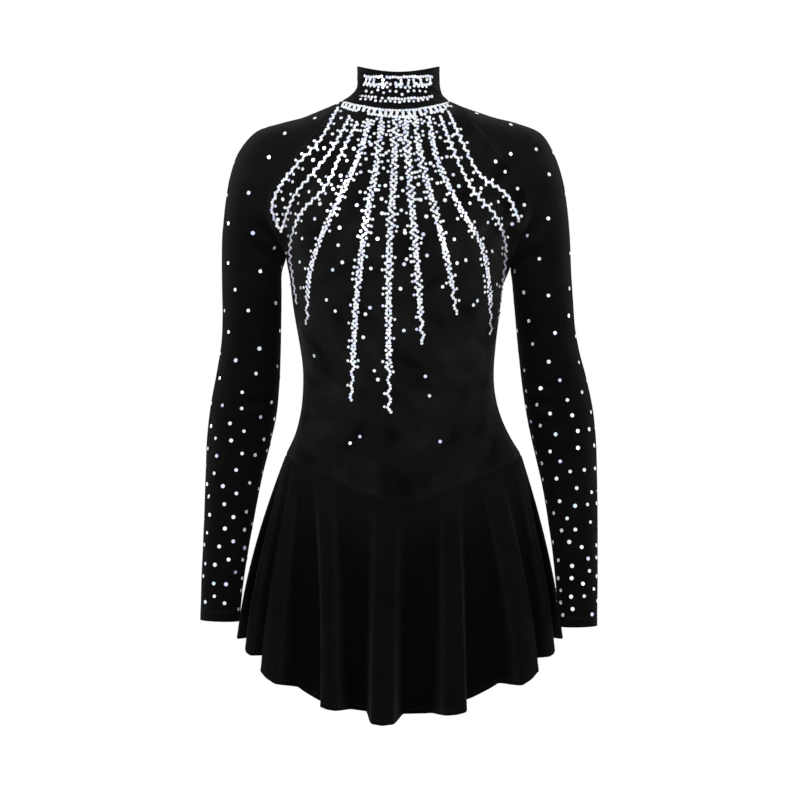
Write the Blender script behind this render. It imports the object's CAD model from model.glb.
import math

import bmesh
import bpy
import numpy as np
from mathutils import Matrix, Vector
from mathutils.bvhtree import BVHTree


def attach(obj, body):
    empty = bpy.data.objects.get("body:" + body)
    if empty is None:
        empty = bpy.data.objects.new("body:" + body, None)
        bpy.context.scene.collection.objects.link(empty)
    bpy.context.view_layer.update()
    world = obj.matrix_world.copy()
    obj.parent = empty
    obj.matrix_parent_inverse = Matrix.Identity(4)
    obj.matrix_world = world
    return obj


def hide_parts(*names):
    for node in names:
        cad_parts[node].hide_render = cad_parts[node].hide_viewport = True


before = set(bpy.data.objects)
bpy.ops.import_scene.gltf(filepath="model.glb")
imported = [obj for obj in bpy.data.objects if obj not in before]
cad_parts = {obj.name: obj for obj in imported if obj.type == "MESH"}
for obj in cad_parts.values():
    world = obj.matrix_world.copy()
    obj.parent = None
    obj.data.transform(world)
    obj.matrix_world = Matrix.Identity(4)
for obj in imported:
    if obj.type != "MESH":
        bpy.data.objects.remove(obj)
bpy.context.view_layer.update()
bpy.ops.object.select_all(action="DESELECT")
mm = 0.001
print("stage: frame loaded")


# general figure that the cloth lies on, in millimetres
figure = {
    # z, half width, depth to the front, depth to the back, centre x
    "torso": np.array([
        (75, 51, 47, 47, 0), (52, 51.5, 48, 49, 0), (38, 52.5, 50, 52, 0), (28, 58.5, 52, 56, -2),
        (18, 74, 54, 60, -4), (9, 97, 57, 64, -2), (0, 121, 62, 69, 0), (-9, 147, 67, 74, 0),
        (-20, 163, 73, 80, 0), (-40, 167, 82, 88, -1), (-70, 160, 93, 95, -1), (-110, 148, 107, 99, -2),
        (-150, 142, 117, 98, -2), (-178, 139, 121, 95, -2), (-205, 134, 118, 91, -2),
        (-240, 130, 109, 86, -2), (-280, 124, 99, 81, -1), (-317, 120, 92, 80, 0),
        (-355, 122, 93, 86, 1), (-393, 132, 96, 96, 4), (-424, 148, 99, 104, 6.5),
        (-455, 151, 100, 109, 6), (-490, 152, 100, 110, 5), (-525, 150, 95, 106, 5),
        (-560, 138, 82, 92, 5), (-585, 112, 60, 68, 5), (-600, 76, 36, 42, 5), (-607, 36, 16, 20, 5),
    ]),
    # z, centre x, centre y, half width, half depth, sway
    "arm": np.array([
        (-58, 158, 2, 43, 46, -3), (-78, 165, 2, 44, 49, -3), (-103, 170.5, 2, 43.5, 50, -3),
        (-150, 180, 2, 39, 48, -3), (-190, 182.5, 2, 37.5, 46.5, -2.5), (-229, 184, 2, 37, 45, -1),
        (-280, 186.5, 1, 37, 44, 1), (-317, 191, 0, 39, 44, 2.5), (-355, 197, -2, 41.5, 45, 3.8),
        (-393, 203, -6, 40.5, 43.5, 3.8), (-418, 206.5, -10, 38.5, 41, 3.8), (-456, 211, -17, 34.5, 37, 3.6),
        (-500, 215, -25, 31, 33, 3.2), (-550, 219, -32, 27.5, 28, 2.2), (-590, 221.5, -36, 25.5, 25, 1.2),
        (-640, 223.3, -38.5, 23.5, 21.5, 0.3),
    ]),
    "sectionPower": 2.15,
    # the arm's path goes on past its last row
    "armPast": 60,
    "armSteps": 48,
    "shoulderBlend": 34,
    "armpitBlend": 8,
    "shoulderLevel": -60,
    "armpitLevel": -170,
}


def smoothCurve(at, known, values):
    order = np.argsort(known)
    known = np.asarray(known, dtype=float)[order]
    values = np.asarray(values, dtype=float)[order]
    slopes = np.gradient(values, known, axis=0)
    at = np.clip(np.asarray(at, dtype=float), known[0], known[-1])
    low = np.clip(np.searchsorted(known, at) - 1, 0, len(known) - 2)
    span = known[low + 1] - known[low]
    part = (at - known[low]) / span
    if values.ndim > 1:
        span = span[:, None]
        part = part[:, None]
    start = (1 + 2 * part) * (1 - part) ** 2 * values[low] + part * (1 - part) ** 2 * span * slopes[low]
    end = part**2 * (3 - 2 * part) * values[low + 1] + part**2 * (part - 1) * span * slopes[low + 1]
    return start + end


# the figure's sizes at a level, each column of its table after the first
def sizesAt(part, z):
    rows = figure[part]
    return [smoothCurve(z, rows[:, 0], rows[:, column]) for column in range(1, rows.shape[1])]


def torsoDistance(points):
    x, y, z = points.T
    halfWidth, front, back, centreX = sizesAt("torso", z)
    across = np.abs(x - centreX) + 1e-6
    deep = np.abs(y) + 1e-6
    power = figure["sectionPower"]
    reach = ((across / halfWidth) ** power + (deep / np.where(y < 0, front, back)) ** power) ** (1 / power)
    return (reach - 1) * np.hypot(across, deep) / reach


def armDistance(points, side):
    rows = figure["arm"]
    levels = np.linspace(rows[0, 0], rows[-1, 0] - figure["armPast"], figure["armSteps"])
    centreX, _, radius, _, sway = sizesAt("arm", levels)
    pathX = side * centreX + sway
    x, y, z = points.T
    _, centreY, halfWidth, halfDepth, _ = sizesAt("arm", z)
    y = (y - centreY) * halfWidth / halfDepth
    stepX = np.diff(pathX)
    stepZ = np.diff(levels)
    awayX = x[:, None] - pathX[None, :-1]
    awayZ = z[:, None] - levels[None, :-1]
    part = np.clip((awayX * stepX + awayZ * stepZ) / (stepX**2 + stepZ**2), 0, 1)
    away = np.sqrt((awayX - part * stepX) ** 2 + (awayZ - part * stepZ) ** 2 + y[:, None] ** 2)
    return (away - (radius[:-1] + part * np.diff(radius))).min(axis=1)


def softMin(first, second, width):
    overlap = np.maximum(width - np.abs(first - second), 0) / width
    return np.minimum(first, second) - overlap**2 * width / 4


def figureDistance(points):
    top = figure["shoulderLevel"]
    part = np.clip((points[:, 2] - top) / (figure["armpitLevel"] - top), 0, 1)
    width = figure["shoulderBlend"] + (figure["armpitBlend"] - figure["shoulderBlend"]) * part
    withLeftArm = softMin(torsoDistance(points), armDistance(points, 1), width)
    return softMin(withLeftArm, armDistance(points, -1), width)


# moves points along the figure's own slope until they lie on it, or as far off it as asked
def drape(points, off=0.0, rounds=7):
    shape = points.shape
    points = points.reshape(-1, 3).astype(float).copy()
    nudge, flattest, farthest = 0.25, 0.05, 25
    for _ in range(rounds):
        here = figureDistance(points) - off
        slope = np.empty_like(points)
        for axis in range(3):
            step = np.zeros(3)
            step[axis] = nudge
            slope[:, axis] = (figureDistance(points + step) - figureDistance(points - step)) / (2 * nudge)
        size = np.maximum((slope**2).sum(axis=1), flattest)
        points -= np.clip(here / size, -farthest, farthest)[:, None] * slope
    return points.reshape(shape)


# where lines leave the figure between a near and a far distance, by halving
def castOut(origins, directions, near, far, distance=figureDistance):
    low = np.full(len(origins), float(near))
    high = np.full(len(origins), float(far))
    for _ in range(26):
        middle = (low + high) / 2
        inside = distance(origins + directions * middle[:, None]) < 0
        low = np.where(inside, middle, low)
        high = np.where(inside, high, middle)
    return origins + directions * ((low + high) / 2)[:, None]


# where lines leave the figure for the first time
def firstExit(origins, directions, near, far, steps=60):
    reached = np.full(len(origins), float(near))
    going = np.ones(len(origins), dtype=bool)
    step = (far - near) / steps
    for _ in range(steps):
        going &= figureDistance(origins + directions * (reached + step)[:, None]) < 0
        reached = np.where(going, reached + step, reached)
    return castOut(origins + directions * reached[:, None], directions, 0, step)


def runLength(path):
    return np.concatenate([[0], np.cumsum(np.linalg.norm(np.diff(path, axis=0), axis=1))])


# values at places along a run, column by column
def sample(at, run, values):
    return np.stack([np.interp(at, run, values[:, axis]) for axis in range(values.shape[1])], axis=1)


def evenly(path, count):
    run = runLength(path)
    return sample(np.linspace(0, run[-1], count), run, path)


curveSteps = 400


def curveThrough(points, count):
    points = np.asarray(points, dtype=float)
    run = runLength(points)
    return evenly(smoothCurve(np.linspace(0, run[-1], curveSteps), run, points), count)


def around(angles):
    turn = np.radians(angles)
    return np.stack([np.sin(turn), -np.cos(turn), np.zeros_like(turn)], axis=-1)


print("stage: figure ready")


# cut of the dress: the same seams as the CAD pieces
cut = {
    "neckSeam": {"front": 5, "side": 22, "back": 26},
    "collarTop": {"front": 53.5, "side": 66, "back": 64},
    "collarRows": 6,
    "collarColumns": 44,
    "raglanStart": 15,
    "raglan": [
        (77, 9), (96, -13), (117, -38), (147, -76), (163, -104), (163.5, -128), (155, -147), (147.5, -162),
    ],
    "raglanRows": 12,
    "armpitX": 142,
    "sideRows": 9,
    "frontColumns": 22,
    "sleeveColumns": 16,
    "sleeveRows": 12,
    "sleeveSpread": 1.25,
    "cuffLevel": {1: -637, -1: -630},
    "sleeveTurn": 80,
    "sleeveCentre": (46, -39),
    "skirtSeam": {"side": -424, "front": 53, "back": 46, "power": 2},
    "skirtHem": {"side": -650, "front": 80, "back": 84, "power": 3},
    "hemSize": {"halfWidth": 188, "front": 148, "back": 153, "centreX": 2},
    "skirtFlare": 1.75,
    "fluteOnset": 1.15,
    "legTop": -500,
    "legCrotch": -588,
    "legHalfWidth": 36,
    "legFullness": 0.42,
    "briefIn": 1.8,
    "briefColumns": 12,
}


# levels round the neck: angle 0 is the front, 90 the wearer's left
def levelRound(levels, angles):
    facing = np.cos(np.radians(angles))
    end = np.where(facing > 0, levels["front"], levels["back"])
    return levels["side"] + (end - levels["side"]) * np.abs(facing) ** 1.6


# a ring round the body at each angle's own level, on the torso
def neckRing(angles, levels):
    origins = np.zeros((len(angles), 3))
    origins[:, 2] = levelRound(levels, angles)
    return castOut(origins, around(angles), 5, 220, torsoDistance)


# levels of the dipping seam and hem, lowest at the front and the back
def dipLevel(spec, angles):
    depth = np.where(np.cos(np.radians(angles)) > 0, spec["front"], spec["back"])
    return spec["side"] - depth * (1 - np.abs(np.sin(np.radians(angles))) ** spec["power"])


def seamRing(angles):
    levels = dipLevel(cut["skirtSeam"], angles)
    origins = np.zeros((len(angles), 3))
    origins[:, 0] = sizesAt("torso", levels)[3]
    origins[:, 2] = levels
    return castOut(origins, around(angles), 20, 260, torsoDistance)


def armpitPoint(side):
    origin = np.array([[side * cut["armpitX"], 2.0, -120.0]])
    return castOut(origin, np.array([[0.0, 0.0, -1.0]]), 0, 130)[0]


def raglanSeam(side, face):
    angle = 90 + face * cut["raglanStart"]
    start = neckRing(np.array([side * angle]), cut["neckSeam"])[0]
    end = armpitPoint(side)
    corners = [(abs(start[0]), start[2]), *cut["raglan"], (cut["armpitX"], end[2])]
    route = curveThrough(corners, cut["raglanRows"])
    origins = np.stack([side * route[:, 0], np.zeros(len(route)), route[:, 1]], axis=1)
    seam = castOut(origins, np.tile([0.0, float(face), 0.0], (len(route), 1)), 0, 200)
    seam[0] = start
    seam[-1] = end
    return seam


def sideSeam(side):
    top = armpitPoint(side)
    bottom = seamRing(np.array([side * 90.0]))[0]
    levels = np.linspace(top[2], bottom[2], cut["sideRows"] + 1)
    part = (levels - top[2]) / (bottom[2] - top[2])
    halfWidth, _, _, centreX = sizesAt("torso", levels)
    line = drape(np.stack([centreX + side * halfWidth, top[1] * (1 - part), levels], axis=1))
    line[0] = top
    line[-1] = bottom
    return line


def panelEdge(side, face):
    return np.concatenate([raglanSeam(side, face), sideSeam(side)[1:]])


# a panel stretched between its four edges and laid on the figure
def layPanel(top, bottom, left, right, off=0.0):
    down = np.linspace(0, 1, len(left))[:, None, None]
    over = np.linspace(0, 1, len(top))[None, :, None]
    grid = left[:, None, :] * (1 - over) + right[:, None, :] * over
    grid = grid + top[None, :, :] * (1 - down) + bottom[None, :, :] * down
    grid = grid - top[0] * (1 - down) * (1 - over) - top[-1] * (1 - down) * over
    grid = grid - bottom[0] * down * (1 - over) - bottom[-1] * down * over
    for _ in range(3):
        inner = drape(grid, off)
        inner[0], inner[-1], inner[:, 0], inner[:, -1] = grid[0], grid[-1], grid[:, 0], grid[:, -1]
        for row in range(1, len(inner) - 1):
            inner[row] = evenly(inner[row], len(top))
        grid = inner
    inner = drape(grid, off)
    grid[1:-1, 1:-1] = inner[1:-1, 1:-1]
    return grid


# turning a coarse panel into finished cloth
seamFinish = {
    "edgeRows": (0.15, 0.45, 0.9, 1.5, 2.3, 3.4, 5.0),
    "depth": 0.9,
    "reach": 2.6,
    "pucker": 0.22,
    "puckerReach": 7.0,
    "puckerWave": 8.6,
    "puckerWander": 43.0,
    "hemWidth": 8.0,
    "hemFold": 0.4,
    "hemEase": 1.5,
    "hemDip": 0.45,
    "hemDipIn": 1.2,
    "hemDipReach": 1.0,
    "edgeRound": 0.9,
    "edgeDrop": 0.7,
    "outward": 0.62,
    "rippleWaves": (61.0, 97.0),
    "foldShade": 0.22,
    # the light line beside a seam: how strong, how far from it, how wide
    "seamShade": 1.2,
    "seamShadeIn": 1.8,
    "seamShadeWidth": 0.9,
    "thickness": 1.25,
}
# how light the nap stands: level and tone, from below upwards
napTone = {
    "collar": ((0, 1.6), (60, 1.6)),
    "front": ((-600, 1.45), (-470, 1.6), (-330, 2.4), (-100, 2.3), (20, 2.4)),
    "back_left": ((-600, 1.4), (-330, 2.0), (20, 2.1)),
    "back_right": ((-600, 1.4), (-330, 2.0), (20, 2.1)),
    "sleeve_left": ((-260, 0.9), (-150, 1.35), (-60, 2.1), (20, 2.4)),
    "sleeve_right": ((-260, 0.9), (-150, 1.35), (-60, 2.1), (20, 2.4)),
    "skirt_front": ((-590, 0.82), (-530, 0.95), (-460, 1.3)),
    "skirt_back": ((-600, 0.82), (-540, 0.95), (-460, 1.3)),
}
# how strongly it is crushed in patches, how the patches lean and drift, and their waves
napCrush = {"front": 1.5, "back_left": 1.1, "back_right": 1.1}
napPatch = {"lean": 22, "leanWave": 210.0, "drift": 18, "driftWave": 190.0, "waves": (130.0, 150.0)}
napRange = (0.3, 3.4)

# soft creases: piece, start and end (x, y, z), bow along z, width, depth
creases = {
    "pathSteps": 12,
    "rimHeight": 0.5,
    "rimIn": 1.9,
    "columns": ("piece", "x0", "y0", "z0", "x1", "y1", "z1", "bow", "width", "depth"),
    "rows": [
        ("collar", -62, -18, 32, -44, -40, 47, 2, 2.4, 1.3),
        ("collar", -66, -12, 26, -40, -44, 38, 2, 2.4, 1.5),
        ("collar", -60, -30, 21, -30, -50, 30, 1, 2.2, 1.2),
        ("collar", 40, -44, 34, 62, -20, 26, 2, 2.4, 1.3),
        ("collar", 30, -48, 24, 58, -30, 19, 1, 2.2, 1.0),
        ("collar", -38, 42, 40, 12, 52, 36, -2, 3.2, 0.8),
        ("collar", 16, 50, 46, 56, 24, 38, -2, 3.0, 0.9),
        ("front", -143, -45, -152, -104, -96, -132, 5, 6.5, 1.9),
        ("front", -141, -55, -172, -112, -94, -166, 4, 5.5, 1.4),
        ("front", -148, -52, -128, -118, -88, -104, 4, 5.0, 1.1),
        ("front", 143, -45, -152, 102, -96, -136, 5, 6.0, 1.7),
        ("front", 141, -55, -176, 116, -92, -166, 3, 5.0, 1.3),
        ("front", 148, -50, -126, 122, -86, -100, 4, 5.0, 1.0),
        ("front", -118, -38, -300, -72, -80, -312, -6, 7.5, 1.7),
        ("front", -119, -34, -322, -58, -84, -330, -7, 8.0, 1.9),
        ("front", -121, -36, -344, -84, -74, -352, -5, 7.0, 1.4),
        ("front", 119, -36, -306, 66, -80, -314, -6, 7.5, 1.7),
        ("front", 120, -36, -330, 52, -86, -336, -7, 8.5, 1.8),
        ("front", 124, -36, -352, 88, -76, -358, -4, 7.0, 1.3),
        ("front", -30, -92, -338, 26, -92, -334, -5, 9.0, 0.9),
        ("front", -64, -112, -196, -20, -112, -208, -6, 12.0, 1.0),
        ("front", 66, -112, -200, 24, -112, -210, -6, 12.0, 0.9),
        ("back_left", 144, 42, -150, 104, 90, -130, 5, 6.5, 1.8),
        ("back_left", 142, 52, -172, 112, 82, -160, 4, 5.5, 1.4),
        ("back_left", 116, 44, -302, 60, 74, -308, -6, 8.0, 1.8),
        ("back_left", 118, 44, -326, 48, 78, -330, -8, 8.5, 2.1),
        ("back_left", 122, 46, -350, 70, 78, -354, -6, 7.5, 1.6),
        ("back_left", 62, 90, -40, 20, 94, -66, -6, 11.0, 1.1),
        ("back_right", -144, 42, -150, -106, 88, -128, 5, 6.5, 1.8),
        ("back_right", -142, 52, -174, -114, 82, -164, 4, 5.5, 1.3),
        ("back_right", -116, 44, -306, -56, 76, -312, -6, 8.0, 1.9),
        ("back_right", -118, 44, -330, -44, 80, -334, -8, 8.5, 2.0),
        ("back_right", -122, 46, -352, -76, 78, -358, -5, 7.5, 1.5),
        ("back_right", -60, 90, -46, -18, 94, -70, -6, 11.0, 1.0),
        ("sleeve_left", 150, -38, -150, 178, -48, -118, -5, 6.5, 2.0),
        ("sleeve_left", 148, -30, -176, 184, -44, -156, -5, 6.0, 1.8),
        ("sleeve_left", 150, 38, -152, 180, 50, -122, -5, 6.5, 2.0),
        ("sleeve_left", 148, 30, -178, 186, 46, -160, -4, 6.0, 1.6),
        ("sleeve_left", 166, -34, -336, 206, -46, -350, 6, 6.0, 1.9),
        ("sleeve_left", 166, -30, -356, 214, -46, -368, 6, 6.5, 2.2),
        ("sleeve_left", 172, -32, -380, 218, -48, -388, 5, 6.0, 1.7),
        ("sleeve_left", 172, 28, -352, 206, 42, -338, -5, 6.0, 1.5),
        ("sleeve_left", 176, 26, -378, 214, 38, -362, -5, 6.0, 1.4),
        ("sleeve_left", 202, -48, -588, 238, -52, -578, 4, 4.6, 1.0),
        ("sleeve_left", 206, -26, -566, 240, -18, -552, 4, 4.8, 1.0),
        ("sleeve_right", -152, -38, -148, -182, -48, -118, -5, 6.5, 2.0),
        ("sleeve_right", -150, -30, -174, -186, -44, -152, -5, 6.0, 1.8),
        ("sleeve_right", -152, 38, -150, -184, 50, -120, -5, 6.5, 2.0),
        ("sleeve_right", -150, 30, -176, -188, 46, -158, -4, 6.0, 1.6),
        ("sleeve_right", -160, -34, -332, -200, -46, -346, 6, 6.0, 2.0),
        ("sleeve_right", -160, -30, -354, -206, -46, -364, 6, 6.5, 2.1),
        ("sleeve_right", -166, -32, -378, -210, -48, -384, 5, 6.0, 1.6),
        ("sleeve_right", -166, 28, -350, -200, 42, -336, -5, 6.0, 1.5),
        ("sleeve_right", -170, 26, -376, -208, 38, -362, -5, 6.0, 1.5),
        ("sleeve_right", -204, -48, -580, -238, -52, -570, 4, 4.6, 1.0),
        ("sleeve_right", -206, -26, -560, -238, -18, -546, 4, 4.8, 1.0),
    ],
}


def easeStep(part):
    part = np.clip(part, 0, 1)
    return part * part * (3 - 2 * part)


# slow wander from five sines
def softNoise(at, seed, period):
    chance = np.random.default_rng(seed)
    total = np.zeros_like(np.asarray(at, dtype=float))
    for harmonic in range(1, 6):
        total += np.sin(at * 2 * math.pi * harmonic / period + chance.uniform(0, 6.28)) / harmonic
    return total / 2.3


# positions along a coarse row of points: each step cut into parts, with close rows near both ends
def fineSteps(count, per, interval, finished):
    last = count - 1
    steps = np.linspace(0, last, last * per + 1)
    close = np.array(seamFinish["edgeRows"]) / interval
    clear = close[-1] * 1.15
    steps = [step for step in steps if finished[0] is None or step == 0 or step > clear]
    steps = [step for step in steps if finished[1] is None or step == last or step < last - clear]
    if finished[0] is not None:
        steps += list(close)
    if finished[1] is not None:
        steps += list(last - close)
    return np.array(sorted(steps))


def refineGrid(grid, rowSteps, columnSteps):
    rows, columns, _ = grid.shape
    tall = smoothCurve(rowSteps, np.arange(rows), grid.reshape(rows, -1)).reshape(len(rowSteps), columns, 3)
    wide = np.swapaxes(tall, 0, 1).reshape(columns, -1)
    fine = smoothCurve(columnSteps, np.arange(columns), wide).reshape(len(columnSteps), len(rowSteps), 3)
    return np.swapaxes(fine, 0, 1)


def unit(vectors):
    return vectors / np.maximum(np.linalg.norm(vectors, axis=-1, keepdims=True), 1e-9)


def gridNormals(grid):
    down = np.gradient(grid, axis=0)
    across = np.gradient(grid, axis=1)
    return unit(np.cross(down, across))


# how far the creases of a piece move its points along their normals
def creasePush(name, points):
    push = np.zeros(points.shape[:2])
    flat = points.reshape(-1, 3)
    for row in creases["rows"]:
        crease = dict(zip(creases["columns"], row))
        if crease["piece"] != name:
            continue
        start = np.array([crease["x0"], crease["y0"], crease["z0"]], dtype=float)
        end = np.array([crease["x1"], crease["y1"], crease["z1"]], dtype=float)
        along = np.linspace(0, 1, creases["pathSteps"])
        path = start + (end - start) * along[:, None]
        path[:, 2] += crease["bow"] * np.sin(math.pi * along)
        path = drape(path, rounds=5)
        best = np.full(len(flat), 1e9)
        where = np.zeros(len(flat))
        for index in range(len(path) - 1):
            step = path[index + 1] - path[index]
            away = flat - path[index]
            part = np.clip(away @ step / (step @ step), 0, 1)
            gap = np.linalg.norm(away - part[:, None] * step, axis=1)
            nearer = gap < best
            best = np.where(nearer, gap, best)
            where = np.where(nearer, (index + part) / (len(path) - 1), where)
        taper = np.sin(math.pi * np.clip(where * 0.94 + 0.03, 0, 1)) ** 0.8
        width = crease["width"]
        trough = -np.exp(-((best / width) ** 2))
        rims = creases["rimHeight"] * np.exp(-(((best - creases["rimIn"] * width) / width) ** 2))
        push += ((trough + rims) * crease["depth"] * taper).reshape(push.shape)
    return push


# distance of each point from the panel's four edges, along the cloth
def edgeRuns(fine):
    down = np.linalg.norm(np.diff(fine, axis=0), axis=2)
    across = np.linalg.norm(np.diff(fine, axis=1), axis=2)
    rows, columns, _ = fine.shape
    top = np.concatenate([np.zeros((1, columns)), np.cumsum(down, axis=0)])
    left = np.concatenate([np.zeros((rows, 1)), np.cumsum(across, axis=1)], axis=1)
    return {"top": top, "bottom": top[-1] - top, "left": left, "right": left[:, -1:] - left}


finishedCloth = {}  # what each piece of cloth leaves behind for stitches and stones


# how light the nap stands at each point: by level, and in crushed patches
def napShade(name, fine, runs):
    levels, tones = zip(*napTone.get(name, ((0, 1.0),)))
    leaning = runs["left"] + napPatch["lean"] * softNoise(runs["top"], 31, napPatch["leanWave"])
    drifting = runs["top"] + napPatch["drift"] * softNoise(runs["left"], 33, napPatch["driftWave"])
    wide, tall = napPatch["waves"]
    patches = napCrush.get(name, 0) * softNoise(leaning, 32, wide) * softNoise(drifting, 34, tall)
    return np.interp(fine[:, :, 2], levels, tones) * np.maximum(1 + patches, napRange[0])


# how far a seam or a hem moves the cloth beside it, and how much lighter it looks there
def finishEdge(number, kind, near, along, width):
    look = seamFinish
    if kind == "seam":
        push = -look["depth"] * (1 - easeStep(near / look["reach"]))
        waves = np.sin(along * 2 * math.pi / look["puckerWave"])
        pucker = softNoise(along, 11 + number, look["puckerWander"]) * waves
        push += look["pucker"] * pucker * np.exp(-near / look["puckerReach"])
        light = look["seamShade"] * np.exp(-(((near - look["seamShadeIn"]) / look["seamShadeWidth"]) ** 2))
        return push, light
    push = look["hemFold"] * (1 - easeStep((near - width) / look["hemEase"]))
    push -= look["hemDip"] * np.exp(-(((near - width + look["hemDipIn"]) / look["hemDipReach"]) ** 2))
    rounding = np.clip(1 - near / look["edgeRound"], 0, 1)
    push -= look["edgeRound"] * look["edgeDrop"] * (1 - np.sqrt(1 - rounding**2 * 0.98))
    return push, 0.0


# a coarse panel cut fine; closedFrom is the row from which a sleeve is a tube
def cutFine(grid, edges, steps, closedFrom):
    rowStep = np.linalg.norm(np.diff(grid, axis=0), axis=2).mean()
    columnStep = np.linalg.norm(np.diff(grid, axis=1), axis=2).mean()
    rowSteps = fineSteps(len(grid), steps[0], rowStep, (edges["top"], edges["bottom"]))
    columnSteps = fineSteps(grid.shape[1], steps[1], columnStep, (edges["left"], edges["right"]))
    closedRow = None if closedFrom is None else int(np.searchsorted(rowSteps, closedFrom - 1e-6))
    return refineGrid(grid, rowSteps, columnSteps), closedRow


allSeams = {"top": "seam", "bottom": "seam", "left": "seam", "right": "seam"}


# edges says for each side whether it is a seam, a hem or None; hems gives their widths, shade darkens folds
def finishCloth(name, fine, edges, closedRow=None, thickness=None, hems=None, ripple=0.0, shade=1.0):
    normals = gridNormals(fine)
    if closedRow is not None:
        shared = unit(normals[closedRow:, 0] + normals[closedRow:, -1])
        normals[closedRow:, 0] = shared
        normals[closedRow:, -1] = shared
    runs = edgeRuns(fine)
    folds = creasePush(name, fine)
    push = seamFinish["outward"] + folds
    shade = shade * napShade(name, fine, runs)
    shade = np.clip(shade + folds * seamFinish["foldShade"], *napRange)
    if ripple:
        wide, tall = seamFinish["rippleWaves"]
        push += ripple * softNoise(runs["left"], 3, wide) * softNoise(runs["top"], 4, tall)
    for number, (side, kind) in enumerate(edges.items()):
        if kind:
            along = runs["left"] if side in ("top", "bottom") else runs["top"]
            width = (hems or {}).get(side, seamFinish["hemWidth"])
            moved, light = finishEdge(number, kind, runs[side], along, width)
            push += moved
            shade = shade + light
    outer = fine + normals * push[:, :, None]
    finishedCloth[name] = {"points": outer, "normals": gridNormals(outer), "runs": runs}
    return buildSheet(name, outer, runs, shade, thickness or seamFinish["thickness"], closedRow)


# a coarse panel cut fine and finished
def makePanel(name, grid, edges, steps, closedFrom=None, **finish):
    fine, closedRow = cutFine(grid, edges, steps, closedFrom)
    return finishCloth(name, fine, edges, closedRow, **finish)


def gridQuads(index):
    corners = [index[:-1, :-1], index[1:, :-1], index[1:, 1:], index[:-1, 1:]]
    return np.stack(corners, axis=2).reshape(-1, 4).tolist()


def linkPiece(name, mesh):
    piece = bpy.data.objects.new(name, mesh)
    bpy.context.collection.objects.link(piece)
    return piece


def buildSheet(name, outer, runs, shade, thickness, closedRow):
    rows, columns, _ = outer.shape
    index = np.arange(rows * columns).reshape(rows, columns)
    mesh = bpy.data.meshes.new(name + "_cloth")
    mesh.from_pydata((outer.reshape(-1, 3) * mm).tolist(), [], gridQuads(index))
    uv = mesh.uv_layers.new(name="cut")
    corner = np.empty(len(mesh.loops), dtype=np.int32)
    mesh.loops.foreach_get("vertex_index", corner)
    flat = np.stack([runs["left"] * mm, -runs["top"] * mm], axis=2).reshape(-1, 2)
    uv.data.foreach_set("uv", flat[corner].ravel().astype(np.float32))
    tone = mesh.attributes.new("shade", "FLOAT", "POINT")
    tone.data.foreach_set("value", shade.ravel().astype(np.float32))
    piece = linkPiece(name + "_cloth", mesh)
    if closedRow is not None:
        mergeClosed(mesh, index[closedRow:, 0], index[closedRow:, -1])
    mesh.shade_smooth()
    thicken(piece, thickness, -1.0)
    piece.select_set(True)
    bpy.ops.object.shade_smooth_by_angle(angle=math.radians(50))
    piece.select_set(False)
    return piece


# joins the first and last columns of a sleeve below the armpit, so the cloth is a tube there
def mergeClosed(mesh, first, last):
    work = bmesh.new()
    work.from_mesh(mesh)
    work.verts.ensure_lookup_table()
    pairs = {work.verts[int(b)]: work.verts[int(a)] for a, b in zip(first, last)}
    bmesh.ops.weld_verts(work, targetmap=pairs)
    work.to_mesh(mesh)
    work.free()


# gives a sheet its thickness, to its inner side or to both
def thicken(piece, thickness, offset):
    wall = piece.modifiers.new("wall", "SOLIDIFY")
    wall.thickness = thickness * mm
    wall.offset = offset
    wall.use_even_offset = False
    bpy.ops.object.select_all(action="DESELECT")
    bpy.context.view_layer.objects.active = piece
    piece.select_set(True)
    bpy.ops.object.modifier_apply(modifier=wall.name)
    piece.select_set(False)


def dressPiece(piece, node, material):
    piece.data.materials.clear()
    piece.data.materials.append(material)
    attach(piece, "dress")
    if node:
        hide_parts(node)


# materials
velvetLook = {
    "dark": (0.0005, 0.0005, 0.0005, 1.0),
    "light": (0.003, 0.003, 0.0031, 1.0),
    "pileSize": 1300.0,
    "streakSize": (420.0, 60.0, 1.0),
    "crushSize": 17.0,
    # how much patches and streaks raise the nap, and from where
    "patchShare": 0.2,
    "streakShare": 0.55,
    "nap": 0.15,
    "roughness": (0.74, 0.95),
    "specular": 0.03,
    "sheen": 0.05,
    "sheenRoughness": 0.38,
    "bump": 0.5,
    "bumpDepth": 0.0004,
    "mottle": (0.88, 1.14),
    # how edge-on the pile has to be before its sheen fades, and what is left of it
    "edgeFrom": 0.45,
    "edgeKept": 0.0,
}
crystalLook = {
    "base": (0.9, 0.92, 0.97, 1.0),
    "violet": (0.64, 0.68, 0.98, 1.0),
    "aqua": (0.7, 0.88, 0.98, 1.0),
    "violetShare": 0.24,
    "aquaShare": 0.12,
    "dimmest": 0.74,
    "metallic": 0.3,
    "roughness": (0.04, 0.18),
    "hazeSize": 900.0,
    "coatRoughness": 0.02,
}
threadLook = {
    "dark": (0.003, 0.003, 0.0035, 1.0),
    "light": (0.012, 0.012, 0.014, 1.0),
    "twistSize": 1800.0,
    "roughness": 0.55,
    "specular": 0.15,
}
lacquerLook = {
    "coat": (0.012, 0.012, 0.014, 1.0),
    "worn": (0.09, 0.09, 0.095, 1.0),
    "wearSize": 380.0,
    "wearFrom": 0.58,
    "wearTo": 0.72,
    "roughness": (0.22, 0.42),
    "metallic": 0.9,
}


# gives a node's inputs their values, or links them to outputs of other nodes
def feed(node, **inputs):
    for key, value in inputs.items():
        socket = node.inputs[key.replace("_", " ")]
        if isinstance(value, bpy.types.NodeSocket):
            node.id_data.links.new(value, socket)
        else:
            socket.default_value = value
    return node


def addNode(tree, kind, **inputs):
    return feed(tree.nodes.new(kind), **inputs)


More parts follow.
